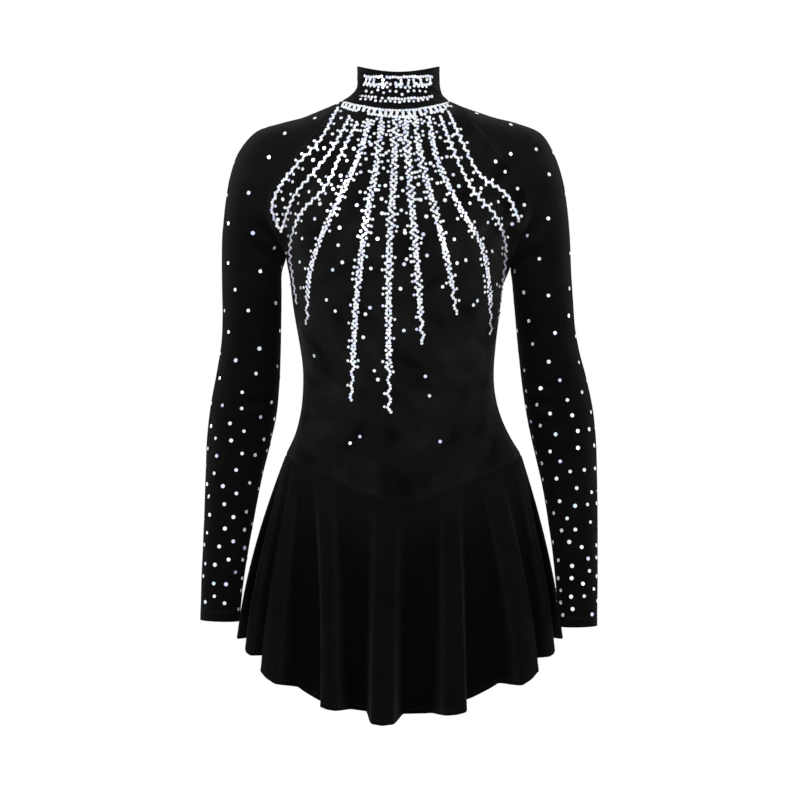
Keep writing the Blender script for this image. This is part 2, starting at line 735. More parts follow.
def addNoise(tree, where, size, **inputs):
    return addNode(tree, "ShaderNodeTexNoise", Vector=where, Scale=size, **inputs).outputs["Fac"]


def addRange(tree, value, start, end, **inputs):
    node = addNode(tree, "ShaderNodeMapRange", Value=value, To_Min=start, To_Max=end, **inputs)
    return node.outputs["Result"]


# what a maths node gives for its parts, each a number or another node's output
def reckon(tree, operation, *parts):
    node = tree.nodes.new("ShaderNodeMath")
    node.operation = operation
    for slot, part in enumerate(parts):
        if isinstance(part, bpy.types.NodeSocket):
            tree.links.new(part, node.inputs[slot])
        else:
            node.inputs[slot].default_value = part
    return node.outputs["Value"]


# a colour between two, as far along as another node says
def addTone(tree, share, first, last):
    node = addNode(tree, "ShaderNodeMix", Factor=share)
    node.data_type = "RGBA"
    node.inputs[6].default_value = first
    node.inputs[7].default_value = last
    return node.outputs[2]


def readAttribute(tree, name):
    node = tree.nodes.new("ShaderNodeAttribute")
    node.attribute_name = name
    return node.outputs


# a new material with its tree, its shader and where its patterns read their place
def startMaterial(name):
    material = bpy.data.materials.new(name)
    material.use_nodes = True
    tree = material.node_tree
    place = tree.nodes.new("ShaderNodeTexCoord").outputs["Object"]
    return material, tree, tree.nodes["Principled BSDF"], place


# fine tufts and brushed streaks on the cut's own UV, broad crushed patches, and a sheen where the nap leans
def makeVelvet():
    look = velvetLook
    material, tree, shader, place = startMaterial("stretchVelvet")
    cutMap = tree.nodes.new("ShaderNodeUVMap")
    cutMap.uv_map = "cut"
    fold = readAttribute(tree, "shade")["Fac"]
    pile = addNoise(tree, cutMap.outputs["UV"], look["pileSize"], Detail=2.0, Roughness=0.6)
    brushed = addNode(tree, "ShaderNodeMapping", Vector=cutMap.outputs["UV"], Scale=look["streakSize"])
    streak = addNoise(tree, brushed.outputs["Vector"], 1.0, Detail=3.0, Roughness=0.55)
    crush = addNoise(tree, place, look["crushSize"], Detail=2.0, Roughness=0.5, Distortion=0.8)
    patches = addRange(tree, crush, 0.0, 1.0, From_Min=0.36, From_Max=0.68)

    # colour and roughness wander between the flat nap and the raised one
    raised = reckon(tree, "MULTIPLY_ADD", patches, look["patchShare"], look["nap"])
    raised = reckon(tree, "MULTIPLY_ADD", streak, look["streakShare"], raised)
    shaded = tree.nodes.new("ShaderNodeVectorMath")
    shaded.operation = "SCALE"
    tree.links.new(addTone(tree, raised, look["dark"], look["light"]), shaded.inputs[0])
    feed(shaded, Scale=fold)
    smooth, rough = look["roughness"]
    roughness = reckon(tree, "MULTIPLY_ADD", raised, smooth - rough, rough)
    height = reckon(tree, "ADD", pile, streak)
    bump = addNode(tree, "ShaderNodeBump", Strength=look["bump"], Distance=look["bumpDepth"], Height=height)
    feed(shader, Base_Color=shaded.outputs["Vector"], Roughness=roughness, Normal=bump.outputs["Normal"])

    # the sheen follows the nap, and fades with the gloss where the pile is seen edge-on
    edge = addNode(tree, "ShaderNodeLayerWeight", Blend=0.5)
    faded = addRange(tree, edge.outputs["Facing"], 1.0, look["edgeKept"], From_Min=look["edgeFrom"])
    low, high = look["mottle"]
    mottle = reckon(tree, "MULTIPLY_ADD", patches, high - low, low)
    sheen = reckon(tree, "MULTIPLY", reckon(tree, "MULTIPLY", fold, mottle), look["sheen"])
    feed(shader, Sheen_Weight=reckon(tree, "MULTIPLY", sheen, faded), Sheen_Roughness=look["sheenRoughness"])
    feed(shader, Specular_IOR_Level=reckon(tree, "MULTIPLY", faded, look["specular"]))
    return material


def makeCrystal():
    look = crystalLook
    material, tree, shader, place = startMaterial("crystal")
    gloss = addRange(tree, addNoise(tree, place, look["hazeSize"], Detail=1.0), *look["roughness"])
    feed(shader, Base_Color=readAttribute(tree, "stoneTint")["Color"], Roughness=gloss)
    feed(shader, Metallic=look["metallic"], Coat_Weight=1.0, Coat_Roughness=look["coatRoughness"])
    return material


def makeThread():
    look = threadLook
    material, tree, shader, place = startMaterial("blackThread")
    twist = addNoise(tree, place, look["twistSize"], Detail=1.0)
    feed(shader, Base_Color=addTone(tree, twist, look["dark"], look["light"]))
    feed(shader, Roughness=look["roughness"], Specular_IOR_Level=look["specular"])
    return material


def makeLacquer():
    look = lacquerLook
    material, tree, shader, place = startMaterial("zipLacquer")
    wear = addNoise(tree, place, look["wearSize"], Detail=4.0, Roughness=0.7)
    worn = addRange(tree, wear, 0.0, 1.0, From_Min=look["wearFrom"], From_Max=look["wearTo"])
    feed(shader, Base_Color=addTone(tree, worn, look["coat"], look["worn"]))
    feed(shader, Roughness=addRange(tree, wear, *look["roughness"]), Metallic=look["metallic"])
    return material


velvet = makeVelvet()
crystal = makeCrystal()
thread = makeThread()
lacquer = makeLacquer()
print("stage: materials ready")


# collar, bodice, sleeves
clothFineness = {"collar": (7, 4), "front": (5, 5), "back": (5, 6), "sleeve": (6, 7), "brief": (4, 5)}
collarCloth = {"thickness": 1.9, "topHem": 6.0}
bodiceCloth = {"ripple": 0.35}
sleeveCloth = {"cuffHem": 14.0, "ripple": 0.25}
briefCloth = {"thickness": 1.1, "legHem": 6.0}


def makeCollarCloth():
    angles = np.linspace(-180, 180, cut["collarColumns"] + 1)
    base = levelRound(cut["neckSeam"], angles)
    top = levelRound(cut["collarTop"], angles)
    rows = []
    origins = np.zeros((len(angles), 3))
    for row in range(cut["collarRows"] + 1):
        origins[:, 2] = top + (base - top) * row / cut["collarRows"]
        rows.append(castOut(origins, around(angles), 5, 200, torsoDistance))
    edges = {**allSeams, "top": "hem"}
    hems = {"top": collarCloth["topHem"]}
    thickness = collarCloth["thickness"]
    return makePanel("collar", np.array(rows), edges, clothFineness["collar"], thickness=thickness, hems=hems)


def makeFrontCloth():
    reach = 90 - cut["raglanStart"]
    top = neckRing(np.linspace(-reach, reach, cut["frontColumns"] + 1), cut["neckSeam"])
    bottom = seamRing(np.linspace(-90, 90, cut["frontColumns"] + 1))
    grid = layPanel(top, bottom, panelEdge(-1, -1), panelEdge(1, -1))
    return makePanel("front", grid, allSeams, clothFineness["front"], ripple=bodiceCloth["ripple"])


def makeBackCloth(name, side):
    half = cut["frontColumns"] // 2
    top = neckRing(np.linspace(180, 90 + cut["raglanStart"], half + 1) * side, cut["neckSeam"])
    bottom = seamRing(np.linspace(180, 90, half + 1) * side)
    edge = panelEdge(side, 1)
    line = np.zeros((len(edge), 3))
    line[:, 2] = np.linspace(top[0, 2], bottom[0, 2], len(edge))
    middle = castOut(line, np.tile([0.0, 1.0, 0.0], (len(edge), 1)), 20, 220)
    middle[0] = top[0]
    middle[-1] = bottom[0]
    middle[:, 0] = bottom[0, 0] * np.linspace(0, 1, len(edge)) ** 2
    grid = layPanel(top, bottom, middle, edge)
    if side > 0:
        grid = grid[:, ::-1]
    return makePanel(name, grid, allSeams, clothFineness["back"], ripple=bodiceCloth["ripple"])


# a ring of the sleeve's cap, swept about its centre from the front seam to the back one
def sweptRing(centre, out, first, last):
    forward = np.array([0.0, -1.0, 0.0])

    def bearing(point):
        away = point - centre
        return math.atan2(away @ forward, away @ out)

    start = bearing(first)
    end = bearing(last)
    end -= 2 * math.pi if end >= 0 else 0
    start += 2 * math.pi if start < 0 else 0
    angles = np.linspace(start, end, cut["sleeveColumns"] + 1)
    directions = np.cos(angles)[:, None] * out + np.sin(angles)[:, None] * forward
    ring = firstExit(np.tile(centre, (len(angles), 1)), directions, 4, 150)
    ring[0] = first
    ring[-1] = last
    return ring


# a ring round the arm, square to it as far as tilt says
def armRing(side, level, tilt):
    centreX, centreY, halfWidth, halfDepth, sway = (float(value) for value in sizesAt("arm", level))
    lean = math.atan2(float(sizesAt("arm", level - 5)[0]) - centreX, 5) * tilt
    out = np.array([side * math.cos(lean), 0.0, math.sin(lean)])
    forward = np.array([0.0, -1.0, 0.0])
    angles = np.linspace(math.pi, -math.pi, cut["sleeveColumns"] + 1)
    centre = np.array([side * centreX + sway, centreY, level])
    return centre + halfWidth * np.cos(angles)[:, None] * out + halfDepth * np.sin(angles)[:, None] * forward


def makeSleeveCloth(name, side):
    front = raglanSeam(side, -1)
    back = raglanSeam(side, 1)
    count = cut["raglanRows"]
    rings = []
    for row in range(count):
        part = row / (count - 1)
        ease = float(easeStep(part))
        turn = math.radians(cut["sleeveTurn"] * (1 - ease))
        out = np.array([side * math.cos(turn), 0.0, math.sin(turn)])
        backOff = cut["sleeveCentre"][0] * (1 - ease) + cut["sleeveCentre"][1] * ease
        middle = (front[row] + back[row]) / 2
        centre = np.array([middle[0], 0.0, middle[2]]) - out * backOff
        centre[1] = middle[1] * ease
        rings.append(sweptRing(centre, out, front[row], back[row]))
    for row in range(1, cut["sleeveRows"] + 1):
        part = (row / cut["sleeveRows"]) ** cut["sleeveSpread"]
        level = front[-1][2] + (cut["cuffLevel"][side] - front[-1][2]) * part
        rings.append(armRing(side, level, min(1.0, part * 4)))
    start = cut["raglanStart"]
    angles = np.linspace(90 - start, 90 + start, cut["sleeveColumns"] + 1) * side
    rings[0] = neckRing(angles, cut["neckSeam"])
    grid = np.array(rings)
    if side < 0:
        grid = grid[:, ::-1]
    edges = {**allSeams, "bottom": "hem"}
    finish = {"hems": {"bottom": sleeveCloth["cuffHem"]}, "ripple": sleeveCloth["ripple"]}
    return makePanel(name, grid, edges, clothFineness["sleeve"], closedFrom=count, **finish)


# fluted skirt
skirtCloth = {
    # angle at the hem and on the seam, half width, height, how much lower it hangs, then the valley after it
    "flutes": np.array([
        (-90, -90, 5, 17, 6, 11, 0), (-70, -76, 3.5, 15, 5, 9, 0), (-53, -68, 6, 18, 6, 14, 5),
        (-25.5, -52, 3.8, 19, 4, 15, 3), (-6, -10, 5, 22, 15, 16, 5), (19.5, 32, 5, 20, 6, 15, -3),
        (52, 53, 7, 18, 5, 10, 6), (71, 75, 3.5, 14, 8, 9, 0), (90, 90, 5, 17, 6, 12, 0),
        (114, 107, 6, 18, 6, 13, 3), (138, 127, 5, 20, 7, 15, -3), (161, 154, 6.5, 18, 6, 14, 4),
        (183, 184, 5, 21, 8, 15, -2), (206, 215, 6, 18, 6, 14, 5), (229, 239, 5, 20, 7, 14, -3),
        (250, 256, 5, 17, 6, 12, 2),
    ]),
    "wall": 2.6,
    "crestFlat": 0.6,
    "crestEdge": 0.93,
    "length": 245.0,
    "rows": 64,
    "hemRows": (0.2, 0.6, 1.2, 2.4, 4.4, 5.2, 5.9, 6.6, 7.4, 8.4),
    "angleStep": 0.55,
    "degreeAtHem": 3.2,
    "hem": 7.0,
    "ripple": 0.8,
    "rippleWave": 33.0,
    # valleys are dark, crests light and their rims lighter; each shade sets in over a share of the length
    "valleyShade": 0.36,
    "crestShade": 1.05,
    "shadeIn": 0.42,
    "deepest": -16.0,
    "highest": 20.0,
    "rimShade": 1.1,
    "rimAt": 0.85,
    "rimWidth": 0.8,
    "rimIn": 0.35,
}


# angle, height and drop of every crest's and valley's middle and edges, three times round
def fluteMarks():
    marks = []
    flutes = skirtCloth["flutes"]
    edge = skirtCloth["crestEdge"]
    for turn in (-360, 0, 360):
        for index, (middle, _, half, height, drop, valley, valleyDrop) in enumerate(flutes):
            following = (index + 1) % len(flutes)
            wrapped = 360 if following == 0 else 0
            crest = middle + turn
            shoulder = half * skirtCloth["crestFlat"]
            floorFrom = crest + half + skirtCloth["wall"]
            floorTo = flutes[following][0] + wrapped + turn - flutes[following][2] - skirtCloth["wall"]
            marks.append((crest - shoulder, height * edge, drop * edge))
            marks.append((crest, height, drop))
            marks.append((crest + shoulder, height * edge, drop * edge))
            marks.append((floorFrom, -valley * edge, valleyDrop))
            marks.append(((floorFrom + floorTo) / 2, -valley, valleyDrop))
            marks.append((floorTo, -valley * edge, valleyDrop))
    return np.array(marks)


# where on the seam the cloth at each angle of the hem starts: the flutes hang more than they fan out
def seamAngle(angles):
    turns = np.array([-360, 0, 360])[:, None]
    flutes = skirtCloth["flutes"]
    return smoothCurve(angles, (turns + flutes[:, 0]).ravel(), (turns + flutes[:, 1]).ravel())


def easedBetween(at, known, values):
    low = np.clip(np.searchsorted(known, at, side="right") - 1, 0, len(known) - 2)
    part = easeStep((at - known[low]) / (known[low + 1] - known[low]))
    return values[low] * (1 - part) + values[low + 1] * part


# how light each angle's cloth is, from the seam down: dark valleys, light crests and lighter rims
def skirtShade(angles, stand, parts):
    work = skirtCloth
    flutes = work["flutes"]
    rims = np.concatenate([flutes[:, 0] + side * flutes[:, 2] * work["rimAt"] for side in (-1, 1)])
    apart = np.abs((angles[:, None] - rims + 180) % 360 - 180).min(axis=1)
    rim = work["rimShade"] * np.exp(-((apart / work["rimWidth"]) ** 2))
    lift = (stand - work["deepest"]) / (work["highest"] - work["deepest"])
    deep = work["valleyShade"] + (work["crestShade"] - work["valleyShade"]) * lift
    into, intoRim = easeStep(parts / work["shadeIn"]), easeStep(parts / work["rimIn"])
    return 1 + (deep - 1) * into[:, None] + rim * intoRim[:, None]


def makeSkirtCloth(name, first, last):
    work = skirtCloth
    marks = fluteMarks()
    angles = np.linspace(first, last, int(round((last - first) / work["angleStep"])) + 1)
    close = np.array(seamFinish["edgeRows"])[::2] / work["degreeAtHem"]
    angles = np.array(sorted([*angles[2:-2], first, last, *(first + close), *(last - close)]))
    topClose = np.array(seamFinish["edgeRows"]) / work["length"]
    hemClose = 1 - np.array(work["hemRows"]) / work["length"]
    parts = np.linspace(0, 1, work["rows"] + 1)
    parts = [part for part in parts if part in (0, 1) or topClose[-1] < part < hemClose[-1]]
    parts = np.array(sorted([*parts, *topClose, *hemClose]))
    seam = seamRing(seamAngle(angles))
    stand = easedBetween(angles, marks[:, 0], marks[:, 1])
    hemLevel = dipLevel(cut["skirtHem"], angles) - easedBetween(angles, marks[:, 0], marks[:, 2])
    size = cut["hemSize"]
    facing = around(angles)
    depth = np.where(facing[:, 1] < 0, size["front"], size["back"])
    hem = np.stack([size["centreX"] + facing[:, 0] * size["halfWidth"], facing[:, 1] * depth], axis=1)
    outward = unit(np.stack([facing[:, 0] / size["halfWidth"], facing[:, 1] / depth], axis=1))
    ripple = softNoise(angles, 21, work["rippleWave"]) * work["ripple"]
    rows = []
    for part in parts:
        flare = 1 - (1 - part) ** cut["skirtFlare"]
        ring = np.empty((len(angles), 3))
        ring[:, :2] = seam[:, :2] * (1 - flare) + hem * flare
        ring[:, :2] += outward * (stand * part ** cut["fluteOnset"] + ripple * part**2)[:, None]
        ring[:, 2] = seam[:, 2] * (1 - part) + hemLevel * part
        rows.append(ring)
    edges = {**allSeams, "bottom": "hem"}
    shade = skirtShade(angles, stand, parts)
    return finishCloth(name, np.array(rows), edges, hems={"bottom": work["hem"]}, shade=shade)


# briefs under the skirt
def makeBriefCloth(name, face):
    columns = cut["briefColumns"] + 1
    angles = np.linspace(-90, 90, columns) if face < 0 else np.linspace(-90, -270, columns)
    top = drape(seamRing(angles), -cut["briefIn"])
    bottomLevel = figure["torso"][-2, 0] + cut["briefIn"]
    edges = []
    for side in (-1, 1):
        start = seamRing(np.array([side * 90.0]))[0]
        levels = np.linspace(start[2], cut["legTop"], 4)
        halfWidth, _, _, centreX = sizesAt("torso", levels)
        line = np.stack([centreX + side * halfWidth, np.zeros(4), levels], axis=1)
        part = np.linspace(0, 1, 7)[1:]
        reach = abs(line[-1, 0] - centreX[-1]) - cut["legHalfWidth"]
        inward = (1 - part) ** (1 + cut["legFullness"])
        downward = part ** (1 - cut["legFullness"])
        x = centreX[-1] + side * (cut["legHalfWidth"] + reach * inward)
        z = cut["legTop"] + (cut["legCrotch"] - cut["legTop"]) * downward
        leg = np.stack([x, np.zeros(len(x)), z], axis=1)
        leg = castOut(leg, np.tile([0.0, float(face), 0.0], (len(leg), 1)), 0, 200, torsoDistance)
        leg[-1, 1:] = 0.0, bottomLevel
        edge = np.concatenate([line, leg])
        edge[:-1] = drape(edge[:-1], -cut["briefIn"])
        edges.append(edge)
    bottom = edges[0][-1] + (edges[1][-1] - edges[0][-1]) * np.linspace(0, 1, columns)[:, None]
    edges[0][0] = top[0]
    edges[1][0] = top[-1]
    grid = layPanel(top, bottom, edges[0], edges[1], -cut["briefIn"])
    if face > 0:
        grid = grid[:, ::-1]
    kinds = {"top": None, "bottom": "seam", "left": "hem", "right": "hem"}
    hems = {"left": briefCloth["legHem"], "right": briefCloth["legHem"]}
    return makePanel(name, grid, kinds, clothFineness["brief"], thickness=briefCloth["thickness"], hems=hems)


def makeCloth():
    made = {
        "collar": makeCollarCloth(),
        "front": makeFrontCloth(),
        "back_left": makeBackCloth("back_left", 1),
        "back_right": makeBackCloth("back_right", -1),
        "sleeve_left": makeSleeveCloth("sleeve_left", 1),
        "sleeve_right": makeSleeveCloth("sleeve_right", -1),
        "skirt_front": makeSkirtCloth("skirt_front", -90, 90),
        "skirt_back": makeSkirtCloth("skirt_back", 90, 270),
        "brief_front": makeBriefCloth("brief_front", -1),
        "brief_back": makeBriefCloth("brief_back", 1),
    }
    for node, piece in made.items():
        dressPiece(piece, node, velvet)
        print("cloth:", piece.name, len(piece.data.polygons), "faces")


makeCloth()
print("stage: cloth made")


# small work that is set on the cloth
def readMesh(piece):
    points = np.empty(len(piece.data.vertices) * 3)
    piece.data.vertices.foreach_get("co", points)
    faces = [tuple(face.vertices) for face in piece.data.polygons]
    bpy.data.objects.remove(piece, do_unlink=True)
    return points.reshape(-1, 3), faces


# one joined mesh holding a copy of the small shape at each place
def setCopies(name, shape, places, axesX, axesY, axesZ, sizes, material, tints=None):
    points, faces = shape
    frames = np.stack([axesX, axesY, axesZ], axis=1)
    sized = points[None, :, :] * sizes[:, None, :]
    moved = np.einsum("nij,njk->nik", sized, frames) + places[:, None, :]
    starts = np.arange(len(places)) * len(points)
    allFaces = [tuple(start + index for index in face) for start in starts.tolist() for face in faces]
    mesh = bpy.data.meshes.new(name)
    mesh.from_pydata((moved.reshape(-1, 3) * mm).tolist(), [], allFaces)
    if tints is not None:
        colour = mesh.color_attributes.new("stoneTint", "FLOAT_COLOR", "POINT")
        colour.data.foreach_set("color", np.repeat(tints, len(points), axis=0).ravel().astype(np.float32))
    dressPiece(linkPiece(name, mesh), None, material)
    print("small work:", name, len(places), "copies")


stoneShape = {"facets": 8, "girdle": 0.16, "table": 0.56, "crown": 0.3, "sunk": 0.1, "wobble": 0.05}


# flat-backed cut stone of unit radius, its flat back down
def modelStone():
    bpy.ops.object.select_all(action="DESELECT")
    facets, girdle = stoneShape["facets"], stoneShape["girdle"]
    middle = (0, 0, girdle / 2)
    bpy.ops.mesh.primitive_cylinder_add(vertices=facets, radius=1.0, depth=girdle, location=middle)
    piece = bpy.context.object
    bpy.ops.object.transform_apply(location=True)
    for face in piece.data.polygons:
        face.select = face.normal.z > 0.9
    bpy.ops.object.mode_set(mode="EDIT")
    bpy.ops.mesh.select_mode(type="FACE")
    bpy.ops.mesh.inset(thickness=(1 - stoneShape["table"]) * math.cos(math.pi / facets))
    bpy.ops.transform.translate(value=(0, 0, stoneShape["crown"]))
    bpy.ops.object.mode_set(mode="OBJECT")
    return readMesh(piece)


# short laid stitch, one unit long and one across, a little sunk
def modelStitch():
    bpy.ops.mesh.primitive_uv_sphere_add(segments=6, ring_count=4, radius=0.5, location=(0, 0, 0))
    return readMesh(bpy.context.object)


stone = modelStone()
stitch = modelStitch()


# points and normals on a finished piece, a given distance in from one of its edges
def lineInCloth(name, side, distance):
    made = finishedCloth[name]
    runs, points, normals = made["runs"][side], made["points"], made["normals"]
    if side in ("left", "right"):
        runs, points, normals = runs.T, points.swapaxes(0, 1), normals.swapaxes(0, 1)
    line, outs = [], []
    for column in range(runs.shape[1]):
        order = np.argsort(runs[:, column])
        known = runs[order, column]
        line.append(sample([distance], known, points[order, column])[0])
        outs.append(sample([distance], known, normals[order, column])[0])
    return np.array(line), unit(np.array(outs))


stitchWork = {
    "length": 2.5,
    "gap": 0.9,
    "width": 0.5,
    "proud": 0.08,
    "probe": 0.6,
    # piece, edge, distance in
    "lines": [
        ("collar", "top", 4.8), ("sleeve_left", "bottom", 12.8), ("sleeve_left", "bottom", 11.0),
        ("sleeve_right", "bottom", 12.8), ("sleeve_right", "bottom", 11.0), ("skirt_front", "bottom", 5.8),
        ("skirt_back", "bottom", 5.8), ("brief_front", "left", 4.8), ("brief_front", "right", 4.8),
        ("brief_back", "left", 4.8), ("brief_back", "right", 4.8), ("back_left", "right", 7.0),
        ("back_right", "left", 7.0), ("collar", "left", 6.0), ("collar", "right", 6.0),
    ],
}


def sewLines():
    places, alongs, outs = [], [], []
    pitch = stitchWork["length"] + stitchWork["gap"]
    probe = stitchWork["probe"]
    for name, side, distance in stitchWork["lines"]:
        points, normals = lineInCloth(name, side, distance)
        run = runLength(points)
        at = np.arange(pitch, run[-1] - pitch, pitch)
        out = unit(sample(at, run, normals))
        places.append(sample(at, run, points) + out * stitchWork["proud"])
        ahead, behind = (sample(at + step, run, points) for step in (probe, -probe))
        alongs.append(unit(ahead - behind))
        outs.append(out)
    places, alongs, outs = np.concatenate(places), np.concatenate(alongs), np.concatenate(outs)
    across = unit(np.cross(outs, alongs))
    sizes = np.tile([stitchWork["length"], stitchWork["width"], stitchWork["width"]], (len(places), 1))
    setCopies("topstitching", stitch, places, alongs, across, np.cross(alongs, across), sizes, thread)


sewLines()
print("stage: stitching made")


# crystal stones
def clothTree(name):
    made = finishedCloth[name]
    rows, columns, _ = made["points"].shape
    quads = gridQuads(np.arange(rows * columns).reshape(rows, columns))
    return BVHTree.FromPolygons(made["points"].reshape(-1, 3).tolist(), quads)


clothFacing = 0.12  # cloth more edge-on to the front than this takes no stone


# where lines along +Y meet the cloth: points, normals and which of them hit
def hitsFromFront(tree, xs, zs):
    points, normals, kept = [], [], []
    for index, (x, z) in enumerate(zip(xs, zs)):
        where, normal, _, _ = tree.ray_cast(Vector((x, -400.0, z)), Vector((0.0, 1.0, 0.0)))
        if where is not None and normal.y < -clothFacing:
            points.append(where)
            normals.append(normal)
            kept.append(index)
    return np.array(points), np.array(normals), np.array(kept, dtype=int)


# stones laid flat on the cloth, each turned, tilted and tinted a little differently
def setStones(name, points, normals, radii, seed):
    chance = np.random.default_rng(seed)
    count = len(points)
    spin = chance.uniform(0, 2 * math.pi, count)
    tilt = unit(normals + chance.normal(0, stoneShape["wobble"], (count, 3)))
    helper = np.where(np.abs(tilt[:, 2:3]) > 0.9, [[1.0, 0.0, 0.0]], [[0.0, 0.0, 1.0]])
    sideways = unit(np.cross(helper, tilt))
    upward = np.cross(tilt, sideways)
    axisX = np.cos(spin)[:, None] * sideways + np.sin(spin)[:, None] * upward
    axisY = np.cross(tilt, axisX)
    base, violet, aqua = (np.array(crystalLook[key]) for key in ("base", "violet", "aqua"))
    violetTo = crystalLook["violetShare"]
    aquaTo = violetTo + crystalLook["aquaShare"]
    pick = chance.uniform(0, 1, (count, 1))
    strength = chance.uniform(0.2, 1.0, (count, 1))
    hue = np.where(pick < violetTo, violet, np.where(pick < aquaTo, aqua, base))
    tints = base + (hue - base) * strength
    tints[:, :3] *= chance.uniform(crystalLook["dimmest"], 1.0, (count, 1))
    sizes = np.stack([radii, radii, radii], axis=1)
    places = points - normals * stoneShape["sunk"]
    setCopies(name, stone, places, axisX, axisY, tilt, sizes, crystal, tints)


rayWork = {
    # sunburst below the collar: the points (x, z) each ray passes, its width, its strands
    "rays": [
        (((-75, 9), (-99, -37), (-127, -65), (-150, -94), (-158, -116), (-151, -138)), 3.6, 1),
        (((-60, -4), (-84, -49), (-107, -77), (-128, -101), (-147, -145)), 3.8, 1),
        (
            ((-51, -12), (-71, -53), (-89, -92), (-124, -130), (-135, -165), (-132, -200), (-126, -236)),
            4.2, 1,
        ),
        (((-36, -9), (-46, -47), (-69, -101), (-96, -159), (-107, -190), (-114, -262)), 6.4, 2),
        (((-20, -7), (-27, -67), (-39, -136), (-51, -233), (-58, -355)), 7.8, 2),
        (((-4, -5), (-5, -67), (-11, -173), (-12, -257), (-11, -370)), 8.6, 2),
        (((8, -5), (12, -60), (18, -136), (26, -233), (30, -288)), 8.4, 2),
        (((20, -5), (28, -60), (46, -129), (63, -202), (71, -251)), 7.8, 2),
        (((37, -5), (46, -54), (73, -116), (104, -170), (112, -213), (115, -274)), 6.4, 2),
        (((52, -4), (64, -38), (94, -100), (122, -130), (133, -160), (131, -205), (125, -262)), 4.2, 1),
        (((62, 3), (80, -40), (101, -78), (136, -102), (152, -133)), 3.9, 1),
    ],
    "pathPoints": 240,
    # by the number of strands: how long a zigzag is, and how far apart its stones stand
    "period": {1: 10.5, 2: 15.5},
    "beadGap": {1: 3.1, 2: 3.6},
    "radius": 1.95,
    "nubRadius": 1.85,
    "nubReach": 3.4,
    "nubShare": {1: 0.36, 2: 0.27},
    "tail": 0.13,
    "tailSwing": 0.75,
    "narrowsFrom": 0.35,
    "endWidth": 0.7,
    "paceWander": 0.216,
    "paceWave": 83.0,
    "swingWander": 0.36,
    "swingWave": 57.0,
    "walkStep": 0.25,
    # stones at the sides lean a little to the front
    "lean": 0.4,
    "topPace": 0.66,
    "topReach": 50.0,
    "overlap": 0.66,
}


# which stones stay when those that would lie mostly on top of an earlier one are dropped
def thinOut(spots, radii, share):
    kept = []
    for index, spot in enumerate(spots):
        if kept:
            away = np.linalg.norm(spots[kept] - spot, axis=1)
            if (away < (radii[kept] + radii[index]) * share).any():
                continue
        kept.append(index)
    return kept


# spots at distances along a path and beside it
def besidePath(path, run, alongs, offsets):
    ahead = unit(np.gradient(path, axis=0))
    way = unit(sample(alongs, run, ahead))
    return sample(alongs, run, path) + np.stack([-way[:, 1], way[:, 0]], axis=1) * offsets[:, None]


# one ray: a zigzag strand, or two that cross and leave small holes, with a nub outside some of the bends
def chainBeads(length, width, strands, chance):
    work = rayWork
    at = np.arange(0, length, work["walkStep"])
    seeds = chance.integers(1000, size=2)
    crowd = 1 - (1 - work["topPace"]) * np.clip(1 - at / work["topReach"], 0, 1)
    hurry = 1 + work["paceWander"] * softNoise(at, int(seeds[0]), work["paceWave"])
    turn = np.cumsum(work["walkStep"] / (work["period"][strands] * crowd * hurry)) + chance.uniform()
    swing = width / 2 * (1 + work["swingWander"] * softNoise(at, int(seeds[1]), work["swingWave"]))
    swing *= np.interp(at / length, (work["narrowsFrom"], 1), (1, work["endWidth"]))
    swing[at > length * (1 - work["tail"])] *= work["tailSwing"]
    alongs, offsets, radii = [], [], []
    for strand in range(strands):
        if strand:
            at = at[at < length * (1 - work["tail"])]
            turn, swing = turn[: len(at)], swing[: len(at)]
        phase = (turn + strand / 2) % 1
        aside = swing * (1 - 4 * np.abs(phase - 0.5))
        last = (-99.0, 0.0)
        for spot in zip(at, aside):
            if math.dist(spot, last) >= work["beadGap"][strands]:
                alongs.append(spot[0])
                offsets.append(spot[1])
                radii.append(work["radius"])
                last = spot
        for index in range(1, len(at) - 1):
            bend = aside[index]
            turnsBack = (bend - aside[index - 1]) * (aside[index + 1] - bend) < 0
            if turnsBack and chance.uniform() < work["nubShare"][strands]:
                alongs.append(at[index] + chance.uniform(-0.8, 0.8))
                offsets.append(bend + math.copysign(work["nubReach"], bend))
                radii.append(work["nubRadius"])
    return np.array(alongs), np.array(offsets), np.array(radii)


def makeRays():
    chance = np.random.default_rng(5)
    tree = clothTree("front")
    spots, radii = [], []
    for points, width, strands in rayWork["rays"]:
        path = curveThrough(points, rayWork["pathPoints"])
        laid, _, kept = hitsFromFront(tree, path[:, 0], path[:, 1])
        path, run = path[kept], runLength(laid)
        alongs, offsets, sizes = chainBeads(run[-1], width, strands, chance)
        spots.append(besidePath(path, run, alongs, offsets))
        radii.append(sizes)
    spots, radii = np.concatenate(spots), np.concatenate(radii)
    points, normals, kept = hitsFromFront(tree, spots[:, 0], spots[:, 1])
    chosen = thinOut(points, radii[kept], rayWork["overlap"])
    sizes = radii[kept][chosen] * chance.uniform(0.92, 1.06, len(chosen))
    normals = normals[chosen]
    toFront = rayWork["lean"] * (1 + normals[:, 1:2]) * np.array([0.0, 1.0, 0.0])
    setStones("stones_rays", points[chosen], unit(normals - toFront), sizes, 6)


makeRays()


singleWork = {
    "radius": 2.35,
    "spacing": 20.5,
    "spread": 0.009,
    "spreadFrom": 90.0,
    "fromWidth": 19.0,
    "clearOfRay": 9.5,
    "steps": 200,
    # loose stones below and beside the rays: x, z
    "loose": [
        (-68, -187), (33, -326), (38, -350), (-47, -400), (-59, -408), (51, -406), (-25, -330), (82, -184),
        (-158, -82), (-163, -98), (-150, -160), (8, -152), (7, -190), (-40, -250), (92, -238), (-88, -232),
        (-104, -300), (120, -60), (132, -72), (148, -92), (157, -112),
    ],
}


